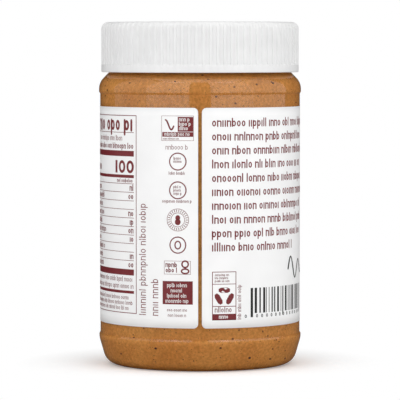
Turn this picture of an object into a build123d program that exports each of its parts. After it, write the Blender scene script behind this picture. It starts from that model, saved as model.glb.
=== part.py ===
"""A screw-lidded peanut butter jar: clear jar, peanut butter, ribbed lid and wrap-round label.

Millimetres, +Z up.  The origin is the middle of the base, on the plane that the jar stands
on, and -Y faces the side where the two ends of the label meet.
"""

import os
from math import pi, radians, tan

from build123d import *

os.makedirs("parts", exist_ok=True)

# ---------------------------------------------------------------- driving sizes: the jar
JAR_HEIGHT = 149.2            # from the base plane to the rim
PANEL_DIAMETER = 88.0         # the straight wall that carries the label
JAR_WALL = 1.0                # blown wall, the same all round
RING_PROUD = 0.5              # how far the shoulder ring and heel ring stand out past the panel
RING_RAMP = 0.8               # height over which a ring runs back down to the panel
NECK_HEIGHT = 20.3            # threaded neck, from the shoulder to the rim
SHOULDER_WIDTH = 4.7          # how far the shoulder comes in to the neck, at 45 degrees
SHOULDER_FILLET = 7.0         # where the shoulder turns down into its ring
NECK_FILLET = 0.8             # where the shoulder turns up into the neck
SHOULDER_RING = 4.1           # height of the upright part of the shoulder ring, before its fillet
HEEL_HEIGHT = 13.4            # top of the heel ring above the base plane
HEEL_RING = 1.6               # height of the upright part of the heel ring
HEEL_TAPER = 3.4              # how far the heel comes in on its way down
HEEL_TOP_FILLET = 8.0         # ring into taper
HEEL_FOOT_FILLET = 6.5        # taper into the foot
FOOT_WIDTH = 3.0              # flat ring that the jar stands on
PUSH_UP = 2.5                 # the middle of the base is raised by this much
PUSH_UP_RAMP = 5.0            # width over which the base rises to it
PUSH_UP_FILLET = 2.0

# ---------------------------------------------------------------- driving sizes: screw thread
THREAD_PITCH = 5.08
THREAD_TURNS = 1.25
THREAD_DEPTH = 1.2            # how far a thread stands out from its wall
THREAD_FOOT = 1.9             # thread's height at its wall
THREAD_CREST = 0.9            # thread's height at its crest
THREAD_ROOT = 0.4             # how deep a thread is bedded in its wall
THREAD_START = 3.0            # jar thread's first centre above the shoulder
THREAD_CLEARANCE = 0.4        # between a thread's crest and the wall that it turns past

# ---------------------------------------------------------------- driving sizes: lid, contents, label
LID_TOP = 1.5                 # thickness of the lid's disc, which seats on the rim
LID_WALL = 1.6                # skirt behind the grooves
LID_FILLET = 3.0              # round edge of the lid's top
LID_LIP_FILLET = 0.5          # lower edge of the skirt
LID_DROP = 0.2                # the skirt ends this far below the foot of the neck
BAND_HEIGHT = 3.2             # smooth band under the ribs
RIB_COUNT = 88
RIB_DEPTH = 0.5
RIB_SHARE = 0.42              # share of each pitch that is rib; the rest is groove
GROOVE_FLANK = 60             # slope of a groove's sides, degrees

HEADSPACE = 3.5               # from the peanut butter's level up to the rim

LABEL_THICKNESS = 0.12
LABEL_GAP = 1.5               # between the label's two ends
LABEL_CORNER = 2.0            # rounded corners of the ends
LABEL_BOTTOM_MARGIN = 5.0     # bare panel under the label
LABEL_TOP_MARGIN = 5.5        # bare panel over it

# ---------------------------------------------------------------- sizes worked out from them
panel_radius = PANEL_DIAMETER / 2
ring_radius = panel_radius + RING_PROUD
neck_radius = ring_radius - SHOULDER_WIDTH
neck_foot = JAR_HEIGHT - NECK_HEIGHT
shoulder_corner = neck_foot - SHOULDER_WIDTH
shoulder_ring_foot = shoulder_corner - SHOULDER_RING
panel_top = shoulder_ring_foot - RING_RAMP
panel_bottom = HEEL_HEIGHT + RING_RAMP
heel_corner = HEEL_HEIGHT - HEEL_RING
foot_corner = ring_radius - HEEL_TAPER
foot_outer = foot_corner - HEEL_FOOT_FILLET
foot_inner = foot_outer - FOOT_WIDTH
push_up_radius = foot_inner - PUSH_UP_RAMP
fill_level = JAR_HEIGHT - HEADSPACE

thread_crest_radius = neck_radius + THREAD_DEPTH
lid_inner = thread_crest_radius + THREAD_CLEARANCE
groove_floor = lid_inner + LID_WALL
lid_radius = groove_floor + RIB_DEPTH
lid_bottom = neck_foot - LID_DROP
band_top = lid_bottom + BAND_HEIGHT
lid_top = JAR_HEIGHT + LID_TOP
groove_mouth = (1 - RIB_SHARE) * 2 * pi * lid_radius / RIB_COUNT

label_bottom = panel_bottom + LABEL_BOTTOM_MARGIN
label_top = panel_top - LABEL_TOP_MARGIN
label_height = label_top - label_bottom
label_radius = panel_radius + LABEL_THICKNESS


def thread_profile(path, outward):
    """Trapezium across the start of a thread: its foot bedded in the wall, its crest standing out."""
    start = path @ 0
    side = Vector(start.X, start.Y, 0).normalized() * outward
    plane = Plane(origin=start, x_dir=side, z_dir=path % 0)
    slope = (THREAD_FOOT - THREAD_CREST) / 2 / THREAD_DEPTH
    bed = THREAD_FOOT / 2 + slope * THREAD_ROOT
    with BuildSketch(plane) as profile:
        with BuildLine():
            Polyline(
                (-THREAD_ROOT, -bed),
                (THREAD_DEPTH, -THREAD_CREST / 2),
                (THREAD_DEPTH, THREAD_CREST / 2),
                (-THREAD_ROOT, bed),
                close=True,
            )
        make_face()
    return profile.sketch


# ---------------------------------------------------------------- outline of the jar's outside
with BuildSketch(Plane.XZ) as outside:
    with BuildLine():
        FilletPolyline(
            (0, PUSH_UP),
            (push_up_radius, PUSH_UP),
            (foot_inner, 0),
            (foot_corner, 0),
            (ring_radius, heel_corner),
            (ring_radius, HEEL_HEIGHT),
            (panel_radius, panel_bottom),
            (panel_radius, panel_top),
            (ring_radius, shoulder_ring_foot),
            (ring_radius, shoulder_corner),
            (neck_radius, neck_foot),
            (neck_radius, JAR_HEIGHT),
            (0, JAR_HEIGHT),
            radius=(
                PUSH_UP_FILLET,
                PUSH_UP_FILLET,
                HEEL_FOOT_FILLET,
                HEEL_TOP_FILLET,
                RING_PROUD / 2,
                RING_PROUD / 2,
                RING_PROUD / 2,
                RING_PROUD / 2,
                SHOULDER_FILLET,
                NECK_FILLET,
                0,
            ),
        )
        Line((0, JAR_HEIGHT), (0, PUSH_UP))
    make_face()

# The cavity lies one wall inside: the mirrored outline is inset, its right half is kept, and the
# neck's bore runs on out of the mouth.
bore_radius = neck_radius - JAR_WALL
with BuildSketch(Plane.XZ) as cavity:
    add(outside.sketch_local)
    mirror(about=Plane.YZ)
    offset(amount=-JAR_WALL)
    split(bisect_by=Plane.YZ)
    with Locations((bore_radius / 2, JAR_HEIGHT)):
        Rectangle(bore_radius, NECK_HEIGHT)

with BuildSketch(Plane.XZ) as jar_section:
    add(outside.sketch_local)
    add(cavity.sketch_local, mode=Mode.SUBTRACT)

# ---------------------------------------------------------------- jar: clear, blown in one piece
with BuildPart() as jar:
    revolve(jar_section.sketch, axis=Axis.Z)
    with BuildLine(mode=Mode.PRIVATE) as jar_helix:
        Helix(THREAD_PITCH, THREAD_PITCH * THREAD_TURNS, neck_radius,
              center=(0, 0, neck_foot + THREAD_START))
    sweep(thread_profile(jar_helix.line, 1), path=jar_helix.line, is_frenet=True)
jar.part.label = "jar"
export_step(jar.part, "parts/jar.step")

# ---------------------------------------------------------------- peanut butter: fills the jar
with BuildPart() as peanut_butter:
    revolve(cavity.sketch, axis=Axis.Z)
    split(bisect_by=Plane.XY.offset(fill_level), keep=Keep.BOTTOM)
peanut_butter.part.label = "peanut_butter"
export_step(peanut_butter.part, "parts/peanut_butter.step")

# ---------------------------------------------------------------- lid: ribbed screw cap
with BuildSketch(Plane.XZ) as lid_section:
    with BuildLine():
        FilletPolyline(
            (lid_inner, lid_bottom),
            (lid_radius, lid_bottom),
            (lid_radius, lid_top),
            (0, lid_top),
            radius=(LID_LIP_FILLET, LID_FILLET),
        )
        Polyline((0, lid_top), (0, JAR_HEIGHT), (lid_inner, JAR_HEIGHT), (lid_inner, lid_bottom))
    make_face()

# One groove seen from above, along +X; its mouth reaches past the lid, so that it cuts right through.
flank = RIB_DEPTH / tan(radians(GROOVE_FLANK))
with BuildSketch() as groove:
    with BuildLine():
        Polyline(
            (groove_floor, -groove_mouth / 2 + flank),
            (groove_floor + 2 * RIB_DEPTH, -groove_mouth / 2 - flank),
            (groove_floor + 2 * RIB_DEPTH, groove_mouth / 2 + flank),
            (groove_floor, groove_mouth / 2 - flank),
            close=True,
        )
    make_face()

# All of them, with one groove's middle at -Y.
with BuildSketch(Plane.XY.offset(band_top)) as grooves:
    with PolarLocations(0, RIB_COUNT, start_angle=-90):
        add(groove.sketch)

with BuildPart() as lid:
    revolve(lid_section.sketch, axis=Axis.Z)
    extrude(grooves.sketch, amount=lid_top - band_top, mode=Mode.SUBTRACT)
    with BuildLine(mode=Mode.PRIVATE) as lid_helix:
        Helix(THREAD_PITCH, THREAD_PITCH * THREAD_TURNS, lid_inner,
              center=(0, 0, neck_foot + THREAD_START + THREAD_PITCH / 2))
    sweep(thread_profile(lid_helix.line, -1), path=lid_helix.line, is_frenet=True)
lid.part.label = "lid"
export_step(lid.part, "parts/lid.step")

# ---------------------------------------------------------------- label: one wrap, open at -Y
with BuildPart() as label:
    with BuildSketch(Plane.XY.offset(label_bottom)):
        Circle(label_radius)
        Circle(panel_radius, mode=Mode.SUBTRACT)
    extrude(amount=label_height)
    # The gap and its rounded corners: a wide strip, less the two rounded ends of the label.
    with BuildSketch(Plane.XZ.offset(panel_radius / 2)):
        with Locations((0, label_bottom + label_height / 2)):
            Rectangle(LABEL_GAP + 2 * LABEL_CORNER, label_height)
        end_middle = LABEL_GAP / 2 + 2 * LABEL_CORNER
        with Locations((-end_middle, label_bottom + label_height / 2),
                       (end_middle, label_bottom + label_height / 2)):
            RectangleRounded(4 * LABEL_CORNER, label_height, LABEL_CORNER, mode=Mode.SUBTRACT)
    extrude(amount=panel_radius, mode=Mode.SUBTRACT)
label.part.label = "label"
export_step(label.part, "parts/label.step")
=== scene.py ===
# %% [markdown]
# # A jar of peanut butter
#
# A clear blown jar, full to the neck, with a ribbed white screw lid and one long printed label
# whose two ends nearly meet at the back.  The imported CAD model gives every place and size.

# %% load the frame
from math import pi

import bpy
import numpy as np
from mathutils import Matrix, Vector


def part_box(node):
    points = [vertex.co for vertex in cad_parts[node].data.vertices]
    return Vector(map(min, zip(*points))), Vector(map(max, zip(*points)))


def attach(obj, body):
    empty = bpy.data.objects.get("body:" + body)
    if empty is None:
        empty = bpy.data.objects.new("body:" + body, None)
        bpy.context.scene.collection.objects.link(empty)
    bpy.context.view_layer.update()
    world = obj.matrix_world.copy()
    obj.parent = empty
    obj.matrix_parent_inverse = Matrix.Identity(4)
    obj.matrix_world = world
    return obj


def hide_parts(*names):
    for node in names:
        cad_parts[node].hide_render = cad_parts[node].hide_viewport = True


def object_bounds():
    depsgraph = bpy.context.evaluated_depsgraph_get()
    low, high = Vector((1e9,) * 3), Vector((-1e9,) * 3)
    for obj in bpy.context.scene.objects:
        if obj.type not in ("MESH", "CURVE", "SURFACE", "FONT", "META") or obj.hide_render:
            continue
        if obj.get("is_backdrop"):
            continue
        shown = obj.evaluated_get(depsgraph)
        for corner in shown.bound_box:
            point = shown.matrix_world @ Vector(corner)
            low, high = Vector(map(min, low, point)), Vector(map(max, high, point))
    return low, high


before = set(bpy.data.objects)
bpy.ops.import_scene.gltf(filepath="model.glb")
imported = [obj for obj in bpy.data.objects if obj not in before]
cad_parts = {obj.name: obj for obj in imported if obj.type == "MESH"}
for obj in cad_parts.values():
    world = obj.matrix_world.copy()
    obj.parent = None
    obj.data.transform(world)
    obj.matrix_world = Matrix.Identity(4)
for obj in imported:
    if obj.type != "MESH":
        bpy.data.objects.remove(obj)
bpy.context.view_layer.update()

MM = 0.001
lid_low, lid_high = (np.array(corner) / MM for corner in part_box("lid"))
label_low, label_high = (np.array(corner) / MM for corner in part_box("label"))
jar_high = np.array(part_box("jar")[1]) / MM
butter_high = np.array(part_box("peanut_butter")[1]) / MM

# %% [markdown]
# ## Camera
#
# A long lens far away, level with the lid and tipped down a little: the lid's edges look almost
# straight, and the curves of the base show plainly.

# %% camera
CAMERA_DISTANCE = 1360.0      # mm from the jar's axis
CAMERA_HEIGHT = 140.6         # mm over the table
CAMERA_TIP = 2.88             # degrees down
LENS = 277.3                  # mm, on a sensor 36 mm wide

camera = bpy.data.objects.new("camera", bpy.data.cameras.new("camera"))
camera.data.lens = LENS
camera.data.sensor_width = 36.0
camera.data.clip_start = 0.05
camera.location = (0.0, -CAMERA_DISTANCE * MM, CAMERA_HEIGHT * MM)
camera.rotation_euler = (np.radians(90.0 - CAMERA_TIP), 0.0, 0.0)
bpy.context.scene.collection.objects.link(camera)
bpy.context.scene.camera = camera
bpy.context.scene.view_settings.view_transform = "Standard"

# %% [markdown]
# ## Helpers for shapes
#
# Nearly everything on a jar is turned: an outline carried round the axis.  An outline is a few
# corners, each rounded by an arc.  A mesh is built from whole arrays of points and faces.


# %% meshes from arrays
def new_piece(name, points, faces, material, stands_for=(), smooth=True):
    """Object from points in mm and a list of face index lists; it rides on the jar's one body."""
    mesh = bpy.data.meshes.new(name)
    mesh.from_pydata((np.asarray(points) * MM).tolist(), [], faces)
    mesh.polygons.foreach_set("use_smooth", np.full(len(mesh.polygons), smooth))
    mesh.materials.append(material)
    piece = bpy.data.objects.new(name, mesh)
    bpy.context.scene.collection.objects.link(piece)
    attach(piece, "root")
    if stands_for:
        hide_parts(*stands_for)
    print(name, len(points), "points", len(faces), "faces")
    return piece


def rounded(corners, radii, steps=8):
    """Outline through corners, each inner corner replaced by an arc.

    The arc touches both sides at radius * tan(turn / 2) from the corner, and its centre lies on
    the bisector at radius / cos(turn / 2).
    """
    corners = np.asarray(corners, float)
    outline = [corners[:1]]
    for before, corner, after, radius in zip(corners, corners[1:], corners[2:], radii):
        into = (corner - before) / np.linalg.norm(corner - before)
        out = (after - corner) / np.linalg.norm(after - corner)
        turn = np.arccos(np.clip(into @ out, -1, 1))
        if radius <= 0 or turn < 1e-6:
            outline.append(corner[None])
            continue
        inward = (out - into) / np.linalg.norm(out - into)
        centre = corner + inward * radius / np.cos(turn / 2)
        angle = np.linspace(-turn / 2, turn / 2, steps)[:, None]
        along = (into + out) / np.linalg.norm(into + out)
        outline.append(centre + radius * (np.sin(angle) * along - np.cos(angle) * inward))
    outline.append(corners[-1:])
    return np.vstack(outline)


def inset(corners, distance):
    """Corners of an open outline moved to its left side by distance, with mitred corners.

    A corner moves by distance * (n1 + n2) / (1 + n1.n2), where n1 and n2 are its sides' normals.
    """
    corners = np.asarray(corners, float)
    sides = np.diff(corners, axis=0)
    sides /= np.linalg.norm(sides, axis=1)[:, None]
    normals = np.column_stack([-sides[:, 1], sides[:, 0]])
    first = np.vstack([normals[:1], normals])
    second = np.vstack([normals, normals[-1:]])
    spread = 1 + np.sum(first * second, axis=1)[:, None]
    return corners + distance * (first + second) / spread


def turned(outline, angles):
    """Points and faces of an outline (r, z) carried round the axis; its ends are poles on it.

    Point (i, j) is (r_i sin a_j, -r_i cos a_j, z_i), so angle 0 faces -Y.  An outline that runs
    up the outside gives faces that point outwards.
    """
    r, z = outline[1:-1, 0:1], outline[1:-1, 1:2]
    rows, columns = len(r), len(angles)
    ring = np.stack([r * np.sin(angles), -r * np.cos(angles), z + 0 * angles], axis=2)
    return close_rings(ring.reshape(-1, 3), rows, columns, outline[0, 1], outline[-1, 1])


def close_rings(points, rows, columns, first_pole, last_pole):
    """Points and faces of stacked rings: a quad between neighbours, and a fan at each pole."""
    index = np.arange(rows * columns).reshape(rows, columns)
    right = np.roll(index, -1, axis=1)
    quads = np.stack([index[:-1], right[:-1], right[1:], index[1:]], axis=2).reshape(-1, 4)
    start = np.stack([np.full(columns, rows * columns), right[0], index[0]], axis=1)
    end = np.stack([np.full(columns, rows * columns + 1), index[-1], right[-1]], axis=1)
    points = np.vstack([points, [[0, 0, first_pole], [0, 0, last_pole]]])
    return points, quads.tolist() + start.tolist() + end.tolist()


# %% [markdown]
# ## Helpers for materials
#
# Colours are written as the hex values a painter would mix, and one function turns them
# into the linear numbers a shader wants.  One function adds a node.


# %% colours and nodes
def linear(colour):
    """Linear RGBA of an sRGB hex colour such as '#7B262B'."""
    srgb = np.array([int(colour[k:k + 2], 16) for k in (1, 3, 5)]) / 255
    rgb = np.where(srgb <= 0.04045, srgb / 12.92, ((srgb + 0.055) / 1.055) ** 2.4)
    return (*rgb.tolist(), 1.0)


def add_node(tree, kind, inputs=None, **settings):
    """New node of that kind; inputs maps a socket's name to a value or to another node's output."""
    made = tree.nodes.new(kind)
    for name, value in settings.items():
        setattr(made, name, value)
    for name, value in (inputs or {}).items():
        if isinstance(value, bpy.types.NodeSocket):
            tree.links.new(value, made.inputs[name])
        else:
            made.inputs[name].default_value = value
    return made


def new_material(name):
    """Empty node material: its tree, its Principled shader and its object coordinates."""
    material = bpy.data.materials.new(name)
    material.use_nodes = True
    tree = material.node_tree
    tree.nodes.clear()
    shader = add_node(tree, "ShaderNodeBsdfPrincipled")
    output = add_node(tree, "ShaderNodeOutputMaterial")
    tree.links.new(shader.outputs["BSDF"], output.inputs["Surface"])
    place = add_node(tree, "ShaderNodeTexCoord").outputs["Object"]
    return material, tree, shader, place


def grain(tree, place, size, detail=2.0, rough=0.5):
    """Noise whose blotches are about size mm across, as a socket from 0 to 1."""
    noise = add_node(tree, "ShaderNodeTexNoise",
                     {"Vector": place, "Scale": 1 / (size * MM), "Detail": detail, "Roughness": rough})
    return noise.outputs["Fac"]


def between(tree, amount, low, high, first, second):
    """Colour that runs from first to second while amount goes from low to high."""
    ramp = add_node(tree, "ShaderNodeValToRGB", {"Fac": amount})
    ramp.color_ramp.elements[0].position = low
    ramp.color_ramp.elements[1].position = high
    ramp.color_ramp.elements[0].color = first if isinstance(first, tuple) else linear(first)
    ramp.color_ramp.elements[1].color = second if isinstance(second, tuple) else linear(second)
    return ramp.outputs["Color"]


def dimple(tree, shader, height, depth):
    """Bump of depth mm from a height socket, put on the shader's normal."""
    bump = add_node(tree, "ShaderNodeBump", {"Height": height, "Distance": depth * MM, "Strength": 1.0})
    tree.links.new(bump.outputs["Normal"], shader.inputs["Normal"])


# %% [markdown]
# ## Clear jar
#
# PET is blown into a mould as a bubble of even wall.  It is glossy outside, and bends light by
# 1.575.  Its wall is never quite flat, so its reflections waver.  The wall's outline has a ring
# standing proud at the shoulder and another at the heel, which guard the label between them.

# %% jar sizes, mm
WALL = 1.0
RING_PROUD = 0.5
RING_RAMP = 0.8
NECK_HEIGHT = 20.3
SHOULDER_WIDTH = 4.7
SHOULDER_RING = 4.1
HEEL_HEIGHT = 13.4
HEEL_RING = 1.6
HEEL_TAPER = 3.4
FOOT_ROUND = 6.5
FOOT_WIDTH = 3.0
PUSH_UP = 2.5
PUSH_UP_RAMP = 5.0
PUSH_UP_ROUND, HEEL_ROUND, RING_ROUND, SHOULDER_ROUND, NECK_ROUND = 2.0, 8.0, 0.25, 7.0, 0.8
SMALLEST_ROUND = 0.3          # of the wall's inner side
AROUND = 360                  # facets round a smooth turned piece

ring_radius = jar_high[0]
panel_radius = ring_radius - RING_PROUD
rim = jar_high[2]
neck_foot = rim - NECK_HEIGHT
neck_radius = ring_radius - SHOULDER_WIDTH
ring_foot = neck_foot - SHOULDER_WIDTH - SHOULDER_RING
foot_corner = ring_radius - HEEL_TAPER
foot_inner = foot_corner - FOOT_ROUND - FOOT_WIDTH
jar_corners = [
    (0, PUSH_UP),
    (foot_inner - PUSH_UP_RAMP, PUSH_UP),
    (foot_inner, 0),
    (foot_corner, 0),
    (ring_radius, HEEL_HEIGHT - HEEL_RING),
    (ring_radius, HEEL_HEIGHT),
    (panel_radius, HEEL_HEIGHT + RING_RAMP),
    (panel_radius, ring_foot - RING_RAMP),
    (ring_radius, ring_foot),
    (ring_radius, neck_foot - SHOULDER_WIDTH),
    (neck_radius, neck_foot),
    (neck_radius, rim),
]
jar_rounds = np.array([PUSH_UP_ROUND, PUSH_UP_ROUND, FOOT_ROUND, HEEL_ROUND] + [RING_ROUND] * 4
                      + [SHOULDER_ROUND, NECK_ROUND])
around = np.linspace(0, 2 * pi, AROUND, endpoint=False)


# %% jar material: blown PET
def blown_plastic():
    """Clear PET, mould-blown: glossy, faintly warm, with a slow waver in its reflections."""
    material, tree, shader, place = new_material("clear_blown_pet")
    shader.inputs["Base Color"].default_value = linear("#FDFBF6")
    shader.inputs["Transmission Weight"].default_value = 1.0
    shader.inputs["IOR"].default_value = 1.575
    shader.inputs["Roughness"].default_value = 0.04
    dimple(tree, shader, grain(tree, place, 18, 1.0), 0.06)
    return material


inner_rounds = np.maximum(jar_rounds - WALL, SMALLEST_ROUND)
outside = rounded(jar_corners, jar_rounds)
inside = rounded(inset(jar_corners, WALL), inner_rounds)
inside[-1, 1] = rim
jar = new_piece("clear_jar", *turned(np.vstack([outside, inside[::-1]]), around),
                blown_plastic(), ["jar"])

# %% [markdown]
# ## Peanut butter
#
# Ground roasted nuts: a matt, slightly oily paste, cloudy with paler and darker drifts, with fine
# bits of brown skin.  Its surface reaches a little into the wall, so that no air shows between.
# The finest specks are in the material, and the larger flecks are true pieces of skin.

# %% peanut butter material
SPECK_SPACING = 1.3           # mm between the cells that may hold a fine speck


def ground_peanuts():
    """Peanut butter: warm tan drifts, darker specks of skin, an oily low gloss."""
    material, tree, shader, place = new_material("ground_peanut_paste")
    drift = between(tree, grain(tree, place, 22, 4.0, 0.6), 0.32, 0.7, "#E19B4A", "#EFAE5C")
    fine = between(tree, grain(tree, place, 1.1, 3.0), 0.3, 0.72, "#D9D2C8", "#FFFFFF")
    paste = add_node(tree, "ShaderNodeMix", {"Factor": 1.0, "A": drift, "B": fine},
                     data_type="RGBA", blend_type="MULTIPLY")
    cells = add_node(tree, "ShaderNodeTexVoronoi", {"Vector": place, "Scale": 1 / (SPECK_SPACING * MM)})
    near = between(tree, cells.outputs["Distance"], 0.08, 0.2, (1, 1, 1, 1), (0, 0, 0, 1))
    chosen = between(tree, cells.outputs["Color"], 0.66, 0.74, (0, 0, 0, 1), (1, 1, 1, 1))
    speck = add_node(tree, "ShaderNodeMath", {0: near, 1: chosen}, operation="MULTIPLY")
    mixed = add_node(tree, "ShaderNodeMix",
                     {"Factor": speck.outputs[0], "A": paste.outputs["Result"], "B": linear("#8A5222")},
                     data_type="RGBA")
    tree.links.new(mixed.outputs["Result"], shader.inputs["Base Color"])
    shader.inputs["Roughness"].default_value = 0.6
    shader.inputs["Specular IOR Level"].default_value = 0.3
    dimple(tree, shader, grain(tree, place, 0.9, 3.0), 0.05)
    return material


# %% peanut butter
REACH = 0.2                   # mm that the paste reaches into the wall
fill_level = butter_high[2]

paste_wall = rounded(inset(jar_corners, WALL - REACH), inner_rounds)
paste_wall = paste_wall[paste_wall[:, 1] < fill_level]
paste_outline = np.vstack([paste_wall, [(paste_wall[-1, 0], fill_level), (0, fill_level)]])
butter = new_piece("peanut_butter_fill", *turned(paste_outline, around),
                   ground_peanuts(), ["peanut_butter"])


# %% [markdown]
# ### Flecks of skin
#
# A little of the nuts' papery skin goes through the mill.  Each fleck is a ball of twenty points,
# squashed against the wall, because a shape repeated hundreds of times must stay light.

# %% flecks of skin
FLECKS = 520
HEEL_SHARE = 0.62             # share of them under the label, where more show
LEAST_FLECK, FLECK_SPREAD = 0.15, 0.42     # mm, radius
FLATNESS = 0.35


def skin_material():
    """Flecks of roasted peanut skin: dark red-brown, uneven."""
    material, tree, shader, place = new_material("roasted_skin")
    tint = between(tree, grain(tree, place, 2.0), 0.35, 0.65, "#3F2210", "#7A4A22")
    tree.links.new(tint, shader.inputs["Base Color"])
    shader.inputs["Roughness"].default_value = 0.7
    return material


def skin_flecks(count, seed=7):
    """Small flattened balls lying in the paste's surface, larger ones rarer.

    A fleck is c + r (a cos t sin p, cos p, d sin t sin p) on axes along, up and out of the wall.
    """
    random = np.random.default_rng(seed)
    low_count = int(count * HEEL_SHARE)
    heights = np.concatenate([
        random.uniform(3.5, label_low[2] + 1, low_count),
        random.uniform(label_high[2] - 1, neck_foot - 1.5, count - low_count),
    ])
    side = paste_wall[paste_wall[:, 1] > 0.5 + WALL]
    radius = np.interp(heights, side[:, 1], side[:, 0])
    turn = random.uniform(0, 2 * pi, count)
    size = LEAST_FLECK + FLECK_SPREAD * random.power(0.35, count) ** 2
    long = random.uniform(0.8, 1.5, count)
    t = np.linspace(0, 2 * pi, 6, endpoint=False)
    p = np.array([pi / 4, pi / 2, 3 * pi / 4])
    shape = np.concatenate([
        np.stack([np.outer(np.sin(p), np.cos(t)), np.outer(np.cos(p), 0 * t + 1),
                  np.outer(np.sin(p), np.sin(t))], axis=2).reshape(-1, 3),
        [[0, 1, 0], [0, -1, 0]],
    ])
    out = np.stack([np.sin(turn), -np.cos(turn), 0 * turn], axis=1)
    along = np.stack([np.cos(turn), np.sin(turn), 0 * turn], axis=1)
    centre = out * radius[:, None] + np.outer(heights, [0, 0, 1])
    stretch = np.stack([long, 0 * long + 1, 0 * long + FLATNESS], axis=1)
    local = shape[None] * (size[:, None] * stretch)[:, None]
    points = (centre[:, None] + local[:, :, :1] * along[:, None]
              + local[:, :, 1:2] * np.array([0, 0, 1.0]) + local[:, :, 2:] * out[:, None])
    ring = np.arange(18).reshape(3, 6)
    nxt = np.roll(ring, -1, axis=1)
    quads = np.stack([ring[:-1], ring[1:], nxt[1:], nxt[:-1]], axis=2).reshape(-1, 4)
    caps = np.concatenate([np.stack([0 * ring[0] + 18, ring[0], nxt[0]], 1),
                           np.stack([0 * ring[2] + 19, nxt[2], ring[2]], 1)])
    base = (np.arange(count) * len(shape))[:, None, None]
    faces = (quads[None] + base).reshape(-1, 4).tolist() + (caps[None] + base).reshape(-1, 3).tolist()
    return points.reshape(-1, 3), faces


flecks = new_piece("peanut_skin_flecks", *skin_flecks(FLECKS), skin_material())

# %% [markdown]
# ## Lid
#
# Polypropylene, moulded white: a soft satin skin over a plastic that lets a little light in.  Its
# skirt has 88 narrow ribs for grip over a plain band.  The ribs are a true surface: the radius
# dips in each groove, and the points crowd at the grooves' flanks, where the shape turns.

# %% lid sizes, mm
RIBS = 88
RIB_DEPTH = 0.5
GROOVE_SHARE = 0.58
FLANK_SHARE = 0.1             # share of a pitch over which the groove's side slopes
BAND = 3.2
TOP_ROUND = 3.0
LIP_ROUND = 0.5
RIB_START = 0.5               # height over which a groove deepens above the band
SKIRT = 2.1                   # skirt's thickness, ribs included
SUNK_RING = 0.25              # shallow step in the lid's top
SUNK_RADIUS = 34.0
lid_radius = lid_high[0]
lid_top, lid_foot = lid_high[2], lid_low[2]


# %% lid material: moulded polypropylene
def moulded_white():
    """White polypropylene, injection-moulded: satin, with a fine even texture from the mould."""
    material, tree, shader, place = new_material("moulded_white_polypropylene")
    tint = between(tree, grain(tree, place, 9, 3.0), 0.3, 0.7, "#E3E3E3", "#E9E9E9")
    tree.links.new(tint, shader.inputs["Base Color"])
    shader.inputs["Roughness"].default_value = 0.42
    shader.inputs["IOR"].default_value = 1.49
    dimple(tree, shader, grain(tree, place, 0.35, 2.0), 0.006)
    return material


# %% lid
def groove_depth(angles):
    """0 on a rib and 1 in a groove, easing over the flanks; a groove's middle is at angle 0."""
    pitch = angles * RIBS / (2 * pi)
    off = np.abs(pitch - np.round(pitch))
    rise = np.clip((GROOVE_SHARE / 2 + FLANK_SHARE / 2 - off) / FLANK_SHARE, 0, 1)
    return rise * rise * (3 - 2 * rise)


half = GROOVE_SHARE / 2
steps = np.array([0.0, 0.12, 0.2, half - 0.05, half - 0.025, half, half + 0.025, half + 0.05, 0.42])
steps = np.concatenate([steps, [0.5], 1 - steps[:0:-1]])   # shares of one rib's pitch
lid_angles = ((np.arange(RIBS)[:, None] + steps[None]) * 2 * pi / RIBS).ravel()

skirt_outline = rounded(
    [(lid_radius - SKIRT, lid_foot), (lid_radius, lid_foot), (lid_radius, lid_top), (SUNK_RADIUS, lid_top)],
    [LIP_ROUND, TOP_ROUND], steps=9)
band_top = lid_foot + BAND
upright = np.array([(lid_radius, band_top + step) for step in (-0.05, 0.1, 0.25, 0.4, 0.55, 8.0)])
lift = np.searchsorted(skirt_outline[:, 1], band_top)
lid_outline = np.vstack([
    [(0, rim), (lid_radius - SKIRT, rim)],
    skirt_outline[:lift],
    upright,
    skirt_outline[lift:],
    [(SUNK_RADIUS - 0.5, lid_top - SUNK_RING), (0, lid_top - SUNK_RING)],
])


def grooved(points, outline, angles):
    """Turned points with the skirt's radius reduced by depth * start * fade * groove(angle).

    The start rises from 0 to 1 over the band, and the fade falls to 0 at the lid's top.
    """
    r, z = outline[1:-1, 0], outline[1:-1, 1]
    start = np.clip((z - band_top) / RIB_START, 0, 1) * (r > lid_radius - TOP_ROUND - 0.01)
    fade = np.clip((lid_top - z) / TOP_ROUND, 0, 1) ** 0.5
    dip = RIB_DEPTH * (start * fade)[:, None] * groove_depth(angles)[None]
    points[:-2, :2] *= (1 - dip / np.maximum(r, 1.0)[:, None]).reshape(-1, 1)
    return points


lid_points, lid_faces = turned(lid_outline, lid_angles)
lid_points = grooved(lid_points, lid_outline, lid_angles)
lid = new_piece("ribbed_lid", lid_points, lid_faces, moulded_white(), ["lid"])

# %% [markdown]
# ## Label
#
# One sheet of white coated film, wound once round the panel, with rounded corners at its two
# ends.  A point of the flat sheet is u, the distance round the jar from the middle of the gap,
# and z.  The same pair places all of the print.

# %% label sizes, mm
GAP = 1.6
CORNER = 2.0
INK = 0.03                    # thickness of a layer of ink
label_radius = label_high[0]
half_wrap = pi * label_radius
label_foot, label_top = label_low[2], label_high[2]


def wrap(u, z, height):
    """Point at distance u round the label's face and at z, lifted off the face by height."""
    angle = u / label_radius
    r = label_radius + height
    return np.stack([r * np.sin(angle), -r * np.cos(angle), z + 0 * u], axis=-1)


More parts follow.
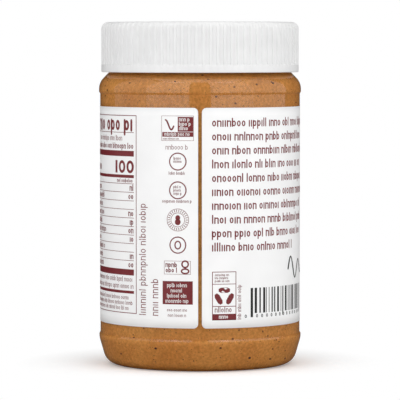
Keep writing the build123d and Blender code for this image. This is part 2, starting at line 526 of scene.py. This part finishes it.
def slab(u, z, low, high):
    """Closed thin sheet over a grid of (u, z), from low to high above the label's face."""
    rows, columns = u.shape
    points = np.vstack([wrap(u, z, high).reshape(-1, 3), wrap(u, z, low).reshape(-1, 3)])
    index = np.arange(rows * columns).reshape(rows, columns)
    face = np.stack([index[:-1, :-1], index[1:, :-1], index[1:, 1:], index[:-1, 1:]], 2).reshape(-1, 4)
    edge = np.concatenate([index[0, :], index[1:, -1], index[-1, -2::-1], index[-2:0:-1, 0]])
    ahead = np.roll(edge, -1)
    below = rows * columns
    sides = np.stack([edge, ahead, ahead + below, edge + below], axis=1)
    return points, np.concatenate([face, face[:, ::-1] + below, sides]).tolist()


# %% label material: coated film
def coated_film():
    """White label film with a smooth coat: soft gloss, and a slow ripple where it was wound on."""
    material, tree, shader, place = new_material("white_coated_film")
    tint = between(tree, grain(tree, place, 14, 2.0), 0.3, 0.7, "#F1F1F1", "#F6F6F6")
    tree.links.new(tint, shader.inputs["Base Color"])
    shader.inputs["Roughness"].default_value = 0.38
    shader.inputs["Specular IOR Level"].default_value = 0.4
    dimple(tree, shader, grain(tree, place, 30, 1.0), 0.03)
    return material


# %% label
start = GAP / 2
bend = CORNER * (1 - np.cos(np.linspace(0, pi / 2, 9)))
one_side = np.concatenate([start + bend, np.arange(start + CORNER + 1, half_wrap - 1, 1.2)])
label_u = np.concatenate([one_side, [half_wrap], 2 * half_wrap - one_side[::-1]])
from_end = np.minimum(label_u - start, 2 * half_wrap - start - label_u)
short = np.clip(CORNER - from_end, 0, CORNER)
pulled = CORNER - np.sqrt(CORNER ** 2 - short ** 2)
share = np.linspace(0, 1, 25)[:, None]
grid_z = (label_foot + pulled) * share + (label_top - pulled) * (1 - share)
grid_u = label_u[None] + 0 * share
label_points, label_faces = slab(grid_u, grid_z, panel_radius - label_radius, 0.0)
label = new_piece("wrap_round_label", label_points, label_faces, coated_film(), ["label"])

# %% [markdown]
# ## Print
#
# On the real film the inks lie as thin layers, one colour after another.  Each colour is built as
# one piece of closed slabs that follow the label's curve, so that it stays crisp from any distance.
# Words are dummy text: loops, arches and stems that spell nothing.


# %% a layer of ink
class Layer:
    """Shapes of one ink, kept as points and faces until the layer is made into a piece."""

    def __init__(self, lift=0.0):
        self.low, self.high = lift, lift + INK
        self.points, self.faces, self.count = [], [], 0

    def add(self, points, faces):
        """Keep a shape, whose faces count from its own first point."""
        self.points.append(points)
        self.faces += [[corner + self.count for corner in face] for face in faces]
        self.count += len(points)

    def bar(self, u0, u1, z0, z1):
        """Upright rectangle, bent round the jar."""
        columns = max(2, int(abs(u1 - u0) / 1.5) + 2)
        u, z = np.meshgrid(np.linspace(u0, u1, columns), [z1, z0])
        self.add(*slab(u, z, self.low, self.high))

    def frame(self, u0, u1, z0, z1, line):
        """Four bars round a rectangle."""
        self.bar(u0, u1, z1 - line, z1)
        self.bar(u0, u1, z0, z0 + line)
        self.bar(u0, u0 + line, z0 + line, z1 - line)
        self.bar(u1 - line, u1, z0 + line, z1 - line)

    def oval(self, u0, z0, wide, tall, line=None, sides=48):
        """Filled oval round (u0, z0), or a ring whose line is that thick.

        Its points are (u0 + w cos t, z0 + h sin t), with w and h shrinking from row to row.
        """
        turn = np.linspace(0, 2 * pi, sides + 1)
        inner = 0.02 if line is None else 1 - line / wide
        reach = np.linspace(1, inner, 2 if line else 4)[:, None]
        u = u0 + wide * reach * np.cos(-turn)
        z = z0 + (tall - (wide - wide * reach) * (1 if line else tall / wide)) * np.sin(-turn)
        self.add(*slab(u, z, self.low, self.high))

    def strokes(self, a, b, width):
        """Straight strokes with blunt ends from a to b, each an eight-sided slab."""
        a, b = np.atleast_2d(a).astype(float), np.atleast_2d(b).astype(float)
        width = np.broadcast_to(width, len(a))[:, None]
        along = (b - a) / np.maximum(np.linalg.norm(b - a, axis=1), 1e-6)[:, None] * width / 2
        across = np.column_stack([-along[:, 1], along[:, 0]])
        ends = [a - along + across * 0.5, a - along - across * 0.5, a - across, b - across,
                b + along - across * 0.5, b + along + across * 0.5, b + across, a + across]
        outline = np.stack(ends, axis=1)
        top = wrap(outline[:, :, 0], outline[:, :, 1], self.high)
        low = wrap(outline[:, :, 0], outline[:, :, 1], self.low)
        points = np.concatenate([top, low], axis=1).reshape(-1, 3)
        base = (np.arange(len(a)) * 16)[:, None]
        k = np.arange(8)
        sides = np.stack([k, k + 8, np.roll(k, -1) + 8, np.roll(k, -1)], axis=1)
        faces = (base + k).tolist() + (base + 8 + k[::-1]).tolist()
        faces += (base[:, :, None] + sides[None]).reshape(-1, 4).tolist()
        self.add(points, faces)

    def loops(self, centre, half, line, sides=12):
        """Small oval rings of half sizes (u, z) round each centre; line is their thickness."""
        turn = np.linspace(0, 2 * pi, sides, endpoint=False)
        shape = np.stack([np.cos(turn), np.sin(turn)], axis=1)
        flat = centre[:, None] + np.vstack([shape * half, shape * (half - line)])
        points = np.concatenate([wrap(flat[..., 0], flat[..., 1], self.high),
                                 wrap(flat[..., 0], flat[..., 1], self.low)], axis=1)
        k, s = np.arange(sides), sides
        n = np.roll(k, -1)
        faces = np.concatenate([
            np.stack([k, n, n + s, k + s], 1), np.stack([k + 2 * s, k + 3 * s, n + 3 * s, n + 2 * s], 1),
            np.stack([k, k + 2 * s, n + 2 * s, n], 1), np.stack([k + s, n + s, n + 3 * s, k + 3 * s], 1)])
        base = (np.arange(len(centre)) * 4 * s)[:, None, None]
        self.add(points.reshape(-1, 3), (faces[None] + base).reshape(-1, 4).tolist())

    def piece(self, name, material):
        """Make the gathered shapes one piece of the label."""
        made = new_piece(name, np.vstack(self.points), self.faces, material, smooth=False)


# %% dummy text
LOOP, ARCH, STEM, TALL_STEM, TALL_LOOP, HANGING_LOOP = range(6)
MARK_SHARES = [0.25, 0.29, 0.15, 0.13, 0.1, 0.08]
TALL, WORD_SPACE = 1.42, 0.5      # in heights of a loop
random = np.random.default_rng(11)


def words(layer, u0, z0, length, height, weight=0.16, upright=False, align=0):
    """A row of dummy text: height is that of its loops, weight its line as a share of that.

    A mark is a loop, an arch or a bare stem, and some loops carry a tall or a hanging stem.
    Marks stand in words of three to eight.  Upright rows run from the foot up, and align=1 sets
    a row's end, not its start, at u0.  A row whose loops are under 1 mm stays short.
    """
    a, b, loop, x, left = [], [], [], 0.0, random.integers(3, 9)
    while x < length and x * height <= length - height:
        kind = random.choice(len(MARK_SHARES), p=MARK_SHARES)
        if kind in (LOOP, TALL_LOOP, HANGING_LOOP):
            loop.append((x + 0.36, 0.5))
        if kind == ARCH:
            a += [(x + 0.07, 0.0), (x + 0.66, 0.0), (x + 0.1, 0.92)]
            b += [(x + 0.07, 1.0), (x + 0.66, 0.84), (x + 0.56, 0.94)]
        if kind in (STEM, TALL_STEM):
            a += [(x + 0.1, 0.0)]
            b += [(x + 0.1, 1.0 if kind == STEM else TALL)]
        if kind in (TALL_LOOP, HANGING_LOOP):
            a += [(x + 0.06, 0.0 if kind == TALL_LOOP else 1 - TALL)]
            b += [(x + 0.06, TALL if kind == TALL_LOOP else 1.0)]
        x += 0.44 if kind in (STEM, TALL_STEM) else 0.95
        left -= 1
        if left == 0:
            x, left = x + WORD_SPACE, random.integers(3, 9)
    a, b, loop = (np.array(part, float).reshape(-1, 2) * height for part in (a, b, loop))
    shift = -align * x * height
    half = np.array([0.37, 0.54]) * height
    if upright:
        a, b, loop = (np.column_stack([u0 - part[:, 1], z0 + shift + part[:, 0]])
                      for part in (a, b, loop))
        half = half[::-1]
    else:
        a, b, loop = (part + [u0 + shift, z0] for part in (a, b, loop))
    layer.strokes(a, b, weight * height)
    layer.loops(loop, half, weight * height)


# %% ink materials
def ink(name, colour, deeper):
    """Printing ink on film: even, with a faint mottle, a little glossier than the film."""
    material, tree, shader, place = new_material(name)
    tint = between(tree, grain(tree, place, 0.6, 2.0), 0.3, 0.7, deeper, colour)
    tree.links.new(tint, shader.inputs["Base Color"])
    shader.inputs["Roughness"].default_value = 0.35
    return material


dark_red, black, white, tan = Layer(), Layer(), Layer(INK), Layer()

# %% [markdown]
# ### Facts table, left of the gap
#
# A ruled frame with a bold heading, thick and thin bars, a large plain number, and rows of small
# values set against its right edge.

# %% facts table
TABLE_RIGHT, TABLE_WIDTH = -29.5, 46.0
TABLE_TOP, TABLE_FOOT = 110.4, 24.7
TABLE_MARGIN = 1.5
RULE = 0.22
row_right = TABLE_RIGHT - TABLE_MARGIN
row_left = TABLE_RIGHT - TABLE_WIDTH + TABLE_MARGIN
dark_red.frame(TABLE_RIGHT - TABLE_WIDTH, TABLE_RIGHT, TABLE_FOOT, TABLE_TOP, 0.32)
words(dark_red, row_right, 103.9, 36, 4.2, 0.27, align=1)
dark_red.bar(row_left, row_right, 102.8, 102.8 + RULE)
words(dark_red, -38.0, 99.4, 24, 1.5, align=1)
words(dark_red, row_right, 96.0, 34, 1.6, 0.24, align=1)
dark_red.bar(row_left, row_right, 92.6, 95.0)
for shift in (0.0, 5.2):
    dark_red.oval(row_right - 2.2 - shift, 88.1, 2.2, 2.75, line=1.2)
dark_red.bar(row_right - 12.2, row_right - 10.7, 85.4, 90.8)
words(dark_red, row_left, 86.2, 16, 2.6, 0.28)
dark_red.bar(row_left, row_right, 83.3, 84.6)
words(dark_red, row_right, 81.4, 11, 1.1, 0.22, align=1)
ROW_TOP, ROW_PITCH, ROWS = 80.7, 3.69, 10
VALUELESS_ROWS = (2, 7)
for row in range(ROWS):
    level = ROW_TOP - row * ROW_PITCH
    dark_red.bar(row_left, row_right, level, level + RULE)
    if row not in VALUELESS_ROWS:
        words(dark_red, row_right, level - 2.75, 3.4, 1.7, 0.25, align=1)
    words(dark_red, row_left + (row % 3) * 1.5, level - 2.75, 15 + 4 * (row % 2), 1.6, 0.2)
dark_red.bar(row_left, row_right, 41.2, 43.8)
words(dark_red, row_right, 38.5, 36, 1.4, align=1)
words(dark_red, row_right, 35.5, 38, 1.4, align=1)
dark_red.bar(row_left, row_right, 33.3, 34.5)
for line, length in enumerate((34, 39, 33)):
    words(dark_red, row_right - 3 * (line != 1), 30.7 - 2.3 * line, length, 1.2, align=1)
words(dark_red, -24.7, 24.4, 50, 2.3, 0.15, upright=True)
words(dark_red, -18.6, 24.4, 19, 2.3, 0.15, upright=True)

# %% [markdown]
# ### Column of small marks by the gap
#
# Plain stand-ins: a badge with a curl, three rings, a seal with a peanut in it, a framed badge
# and a solid block with white lines.

# %% column of marks
COLUMN = -9.6                 # middle of the column
RING_MARKS = ((90.8, 2), (78.5, 3))       # height of a ring, and the lines of text in it
RING, RING_LINE = 3.85, 0.5
SEAL = 65.8                   # height of the seal's middle
SPOKES = 26
dark_red.frame(-16.9, -2.7, 99.7, 110.4, 0.14)
dark_red.bar(COLUMN, -2.9, 103.6, 109.9)
dark_red.bar(-16.5, -2.9, 101.4, 103.4)
for line in range(3):
    words(white, COLUMN + 0.6, 108.1 - 1.9 * line, 5.6, 1.1, 0.22)
words(white, -15.6, 101.9, 12.2, 1.0, 0.2)
words(dark_red, -16.3, 100.2, 13.2, 0.55, 0.2)
along = np.linspace(0, 1, 9)
curl = np.column_stack([-15.0 + 3.6 * along, 108.6 - 4.2 * np.sin(along * 2.2) ** 2])
dark_red.strokes(curl[:-1], curl[1:], 0.7)
words(dark_red, -15.0, 96.0, 10.6, 1.4, 0.14)
for level, lines in RING_MARKS:
    dark_red.oval(COLUMN, level, RING, RING, line=RING_LINE)
    for line in range(lines):
        words(dark_red, COLUMN - 1.9, level + 0.9 - 1.4 * line, 3.9, 0.8, 0.2)
words(dark_red, COLUMN - 4.0, 85.2, 8, 0.9, 0.2)
words(dark_red, COLUMN - 7.0, 73.2, 14.2, 0.9, 0.2)
for ring in (4.85, 3.1):
    dark_red.oval(COLUMN, SEAL, ring, ring, line=0.2)
spoke = np.linspace(0, 2 * pi, SPOKES, endpoint=False)
ray = np.column_stack([np.cos(spoke), np.sin(spoke)])
dark_red.strokes(ray * 3.5 + [COLUMN, SEAL], ray * 4.35 + [COLUMN, SEAL], 0.28)
dark_red.oval(COLUMN, SEAL + 0.9, 1.05, 1.15)
dark_red.oval(COLUMN, SEAL - 0.9, 1.25, 1.35)
dark_red.oval(COLUMN, 55.0, 3.7, 3.7, line=0.5)
dark_red.oval(COLUMN, 55.0, 1.5, 1.9, line=0.55)
dark_red.frame(-15.7, -4.0, 42.4, 48.2, 0.14)
for line in range(2):
    words(dark_red, -15.0, 45.6 - 2.3 * line, 6.2, 1.4, 0.26)
dark_red.oval(-6.4, 46.8, 1.7, 1.7, line=0.65)
dark_red.oval(-6.4, 43.8, 1.9, 1.3, line=0.65)
dark_red.bar(-16.4, -3.1, 29.5, 39.5)
for line, length in enumerate((9.4, 6.2, 9.6, 11.0)):
    words(white, COLUMN - length / 2, 37.0 - 2.25 * line, length, 1.1, 0.2)
words(dark_red, -14.4, 26.5, 9.6, 0.9, 0.18)
words(dark_red, -14.0, 24.2, 8.8, 0.9, 0.18)

# %% [markdown]
# ### Text, box mark and bars, right of the gap
#
# A block of larger dummy text runs on round the jar.  Under it stand a ruled box with three
# lozenges in a ring, black stripes of random width, and a loose flourish of a broad pen.

# %% text block
TEXT_LEFT, TEXT_FIRST, TEXT_PITCH, TEXT_HEIGHT = 5.2, 105.9, 5.93, 2.35
for line, length in enumerate((60, 58, 61, 57, 60, 61, 58, 60, 59, 47)):
    words(dark_red, TEXT_LEFT, TEXT_FIRST - TEXT_PITCH * line, length, TEXT_HEIGHT, 0.23)

# %% box mark: three lozenges in a ruled box
BOX_LEFT, BOX_RIGHT, BOX_FOOT, BOX_TOP = TEXT_LEFT, 15.9, 22.7, 43.6
dark_red.frame(BOX_LEFT, BOX_RIGHT, BOX_FOOT, BOX_TOP, 0.3)
for low, high in ((38.1, 38.35), (28.5, 28.8), (BOX_FOOT, 25.4)):
    dark_red.bar(BOX_LEFT, BOX_RIGHT, low, high)
for line in range(3):
    words(dark_red, 6.4, 41.7 - 1.3 * line, 8.4, 0.7, 0.2)
words(dark_red, 6.4, 26.2, 8.6, 1.5, 0.2)
words(white, 8.2, 23.5, 5.2, 1.1, 0.25)
for turn in np.radians([90, 210, 330]):
    middle = np.array([10.55 + 2.9 * np.cos(turn), 33.1 + 2.5 * np.sin(turn)])
    slant = np.array([-np.sin(turn), np.cos(turn)]) * 1.35
    dark_red.strokes([middle - slant], [middle + slant], 2.3)
words(dark_red, 18.1, 22.9, 16, 1.15, 0.18, upright=True)

# %% stripes like a price code: random widths, no number
MODULE, STRIPES_LEFT, MODULES = 0.41, 22.8, 95
STRIPE_EDGES = 60             # more than enough to fill the width
edges = np.concatenate([[0], np.cumsum(random.integers(1, 4, STRIPE_EDGES))])
for k in range(0, STRIPE_EDGES, 2):
    if edges[k + 1] > MODULES:
        break
    guard = edges[k] < 4 or 44 < edges[k] < 50 or edges[k] > 90
    left = STRIPES_LEFT + edges[k] * MODULE
    right = STRIPES_LEFT + edges[k + 1] * MODULE - 0.06
    black.bar(left, right, 23.6 if guard else 25.3, 36.2)
for k in range(14):
    black.oval(20.4 + (k > 0) * 2.9 + 2.75 * k, 24.1, 0.5, 0.75, line=0.3, sides=12)

# %% a loose flourish of the pen
sweep = np.linspace(0, 1, 40)
pen_u = 46.5 + 20 * sweep
pen_z = 43.5 + 5.5 * np.sin(sweep * 4 * pi) * (1 - 0.6 * sweep)
pen = np.column_stack([pen_u, pen_z])
black.strokes(pen[:-1], pen[1:], 0.55 + 0.5 * np.abs(np.cos(sweep[:-1] * 4 * pi)))

# %% [markdown]
# ### The front
#
# The side that faces a shopper gets a plain design of the same inks: an oval frame with a peanut
# in its shell, over a red band.

# %% front of the label
FRONT = half_wrap
BAND_REACH = 46.0
OVAL_LEVEL, OVAL_WIDE, OVAL_TALL = 76.0, 33.0, 25.0
for low, high in ((27.0, 40.0), (25.2, 26.0), (41.0, 41.8)):
    dark_red.bar(FRONT - BAND_REACH, FRONT + BAND_REACH, low, high)
for line, length in enumerate((52, 34)):
    words(white, FRONT - length / 2, 33.8 - 4.6 * line, length, 2.4, 0.24)
dark_red.oval(FRONT, OVAL_LEVEL, OVAL_WIDE, OVAL_TALL, line=1.6, sides=96)
dark_red.oval(FRONT, OVAL_LEVEL, OVAL_WIDE - 2.6, OVAL_TALL - 2.6, line=0.4, sides=96)

# A peanut's outline is r = 8.6 (1 + 0.4 cos 2t)(1 + 0.1 cos t): two lobes, one a little larger.
lobe = np.linspace(0, 2 * pi, 97)
inward = np.linspace(1, 0.02, 18)[:, None]
waist = 8.6 * (1 + 0.4 * np.cos(2 * lobe)) * (1 + 0.1 * np.cos(lobe))
shell_u = FRONT + inward * (waist * 1.55 * np.cos(-lobe))
shell_z = OVAL_LEVEL + inward * (waist * 1.05 * np.sin(-lobe))
tan.add(*slab(shell_u, shell_z, 0, INK))
for row in range(-2, 3):
    dash = FRONT + np.arange(-12.0, 12.1, 3.0) + 1.5 * (row % 2)
    level = OVAL_LEVEL + 1.9 * row + 0 * dash
    white.strokes(np.column_stack([dash - 0.45, level]), np.column_stack([dash + 0.45, level]), 0.45)
words(dark_red, FRONT - 22, 104.5, 44, 3.0, 0.24)

# %% the layers of ink
dark_red.piece("print_dark_red", ink("dark_red_ink", "#7E262B", "#6E2025"))
black.piece("print_black", ink("black_ink", "#1C1A1A", "#121111"))
white.piece("print_white", ink("white_ink", "#F4F2F0", "#E6E2E0"))
tan.piece("print_tan", ink("tan_ink", "#BF8B4C", "#AE7A3C"))

# %% [markdown]
# ## Studio
#
# Two tall soft panels stand either side of the camera, with a gap in the middle, and a box hangs
# overhead.  The clear wall mirrors the panels as pale sheets with straight upright edges.  The
# rest of the room is dark in reflections, which draws the jar's edges.  The table is white, looks
# darker in reflections, and keeps the jar's soft contact shadow.

# %% lamps
PANELS = (                    # degrees from the camera to a panel's middle, left minus; its glow
    (-87.0, 0.5), (-37.0, 1.15), (37.0, 1.15), (87.0, 0.75))
PANEL_REACH = 25.0            # half the angle that a panel covers, degrees
PANEL_DISTANCE = 600.0
PANEL_HEIGHT = 1000.0
TOP_GLOW = 1.05


def soft_box(name, place, aim, wide, tall, glow):
    """Rectangular lamp in mm; a face of radiance glow needs glow * pi * area watts."""
    lamp = bpy.data.lights.new(name, "AREA")
    lamp.shape = "RECTANGLE"
    lamp.size, lamp.size_y = wide * MM, tall * MM
    lamp.energy = glow * pi * lamp.size * lamp.size_y
    holder = bpy.data.objects.new(name, lamp)
    holder.location = np.array(place) * MM
    facing = np.array(aim, float) - np.array(place, float)
    across = np.hypot(facing[0], facing[1])
    holder.rotation_euler = (pi / 2 + np.arctan2(facing[2], across), 0.0,
                             np.arctan2(facing[1], facing[0]) - pi / 2)
    bpy.context.scene.collection.objects.link(holder)


panel_width = 2 * PANEL_DISTANCE * np.tan(np.radians(PANEL_REACH))
for degrees, glow in PANELS:
    azimuth = np.radians(degrees)
    x, y = PANEL_DISTANCE * np.sin(azimuth), -PANEL_DISTANCE * np.cos(azimuth)
    soft_box(f"panel_{degrees:.0f}", (x, y, PANEL_HEIGHT / 2), (0, 0, PANEL_HEIGHT / 2),
             panel_width, PANEL_HEIGHT, glow)
soft_box("top_box", (0, -100, 1100), (0, -99, 0), 1200, 1200, TOP_GLOW)

# %% [markdown]
# ### Room and table
#
# One background serves four kinds of ray: white to the camera and through the clear wall, grey as
# soft light, and nearly dark in reflections.  The table's own shadow fades into plain white.

# %% world
FILL, ROOM, THROUGH = 0.3, 0.03, 1.0
world = bpy.data.worlds.new("studio")
bpy.context.scene.world = world
world.use_nodes = True
world_tree = world.node_tree
world_tree.nodes.clear()
path = add_node(world_tree, "ShaderNodeLightPath")
glow = FILL
for ray, level in (("Is Glossy Ray", ROOM), ("Is Transmission Ray", THROUGH), ("Is Camera Ray", 1.0)):
    glow = add_node(world_tree, "ShaderNodeMix",
                    {"Factor": path.outputs[ray], "A": glow, "B": level}).outputs["Result"]
room = add_node(world_tree, "ShaderNodeBackground", {"Color": (1, 1, 1, 1), "Strength": glow})
add_node(world_tree, "ShaderNodeOutputWorld", {"Surface": room.outputs["Background"]})

# %% table
FLOOR_SIZE = 6000.0
FLOOR_GLOW = 0.2              # added for the camera only, so that the table is white
SHADE_START, SHADE_END = 48.0, 82.0       # mm from the axis; the table turns plain white between


def table_card():
    """White matt card: shaded near the jar, and plain white to the camera farther out.

    The share of plain white is (distance - start) / (end - start), for camera rays only.
    """
    material, tree, shader, place = new_material("white_table")
    rays = add_node(tree, "ShaderNodeLightPath").outputs
    mirrored = add_node(tree, "ShaderNodeMath",
                        {0: rays["Is Glossy Ray"], 1: rays["Is Transmission Ray"]},
                        operation="SUBTRACT", use_clamp=True)
    tint = add_node(tree, "ShaderNodeMix",
                    {"Factor": mirrored.outputs[0], "A": linear("#F2F2F2"), "B": linear("#4A4A4A")},
                    data_type="RGBA")
    glow = add_node(tree, "ShaderNodeMath", {0: rays["Is Camera Ray"], 1: FLOOR_GLOW},
                    operation="MULTIPLY")
    tree.links.new(tint.outputs["Result"], shader.inputs["Base Color"])
    tree.links.new(glow.outputs[0], shader.inputs["Emission Strength"])
    shader.inputs["Emission Color"].default_value = (1, 1, 1, 1)
    shader.inputs["Roughness"].default_value = 0.8
    shader.inputs["Specular IOR Level"].default_value = 0.1
    away = add_node(tree, "ShaderNodeVectorMath", {0: place}, operation="LENGTH")
    farther = add_node(tree, "ShaderNodeMapRange",
                       {"Value": away.outputs["Value"], "From Min": SHADE_START * MM,
                        "From Max": SHADE_END * MM})
    plain = add_node(tree, "ShaderNodeMath",
                     {0: farther.outputs["Result"], 1: rays["Is Camera Ray"]}, operation="MULTIPLY")
    white_card = add_node(tree, "ShaderNodeEmission", {"Color": (1, 1, 1, 1), "Strength": 1.0})
    mixed = add_node(tree, "ShaderNodeMixShader",
                     {0: plain.outputs[0], 1: shader.outputs["BSDF"],
                      2: white_card.outputs["Emission"]})
    output = next(node for node in tree.nodes if node.type == "OUTPUT_MATERIAL")
    tree.links.new(mixed.outputs["Shader"], output.inputs["Surface"])
    return material


corner = FLOOR_SIZE / 2 * MM
table_mesh = bpy.data.meshes.new("table")
table_mesh.from_pydata([(-corner, -corner, 0), (corner, -corner, 0), (corner, corner, 0),
                        (-corner, corner, 0)], [], [(0, 1, 2, 3)])
table_mesh.materials.append(table_card())
table = bpy.data.objects.new("table", table_mesh)
bpy.context.scene.collection.objects.link(table)
table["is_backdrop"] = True

# %% sizes, and the end
bpy.context.view_layer.update()
low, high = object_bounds()
print("visual box in mm", np.round(np.array(low) / MM, 2), np.round(np.array(high) / MM, 2))
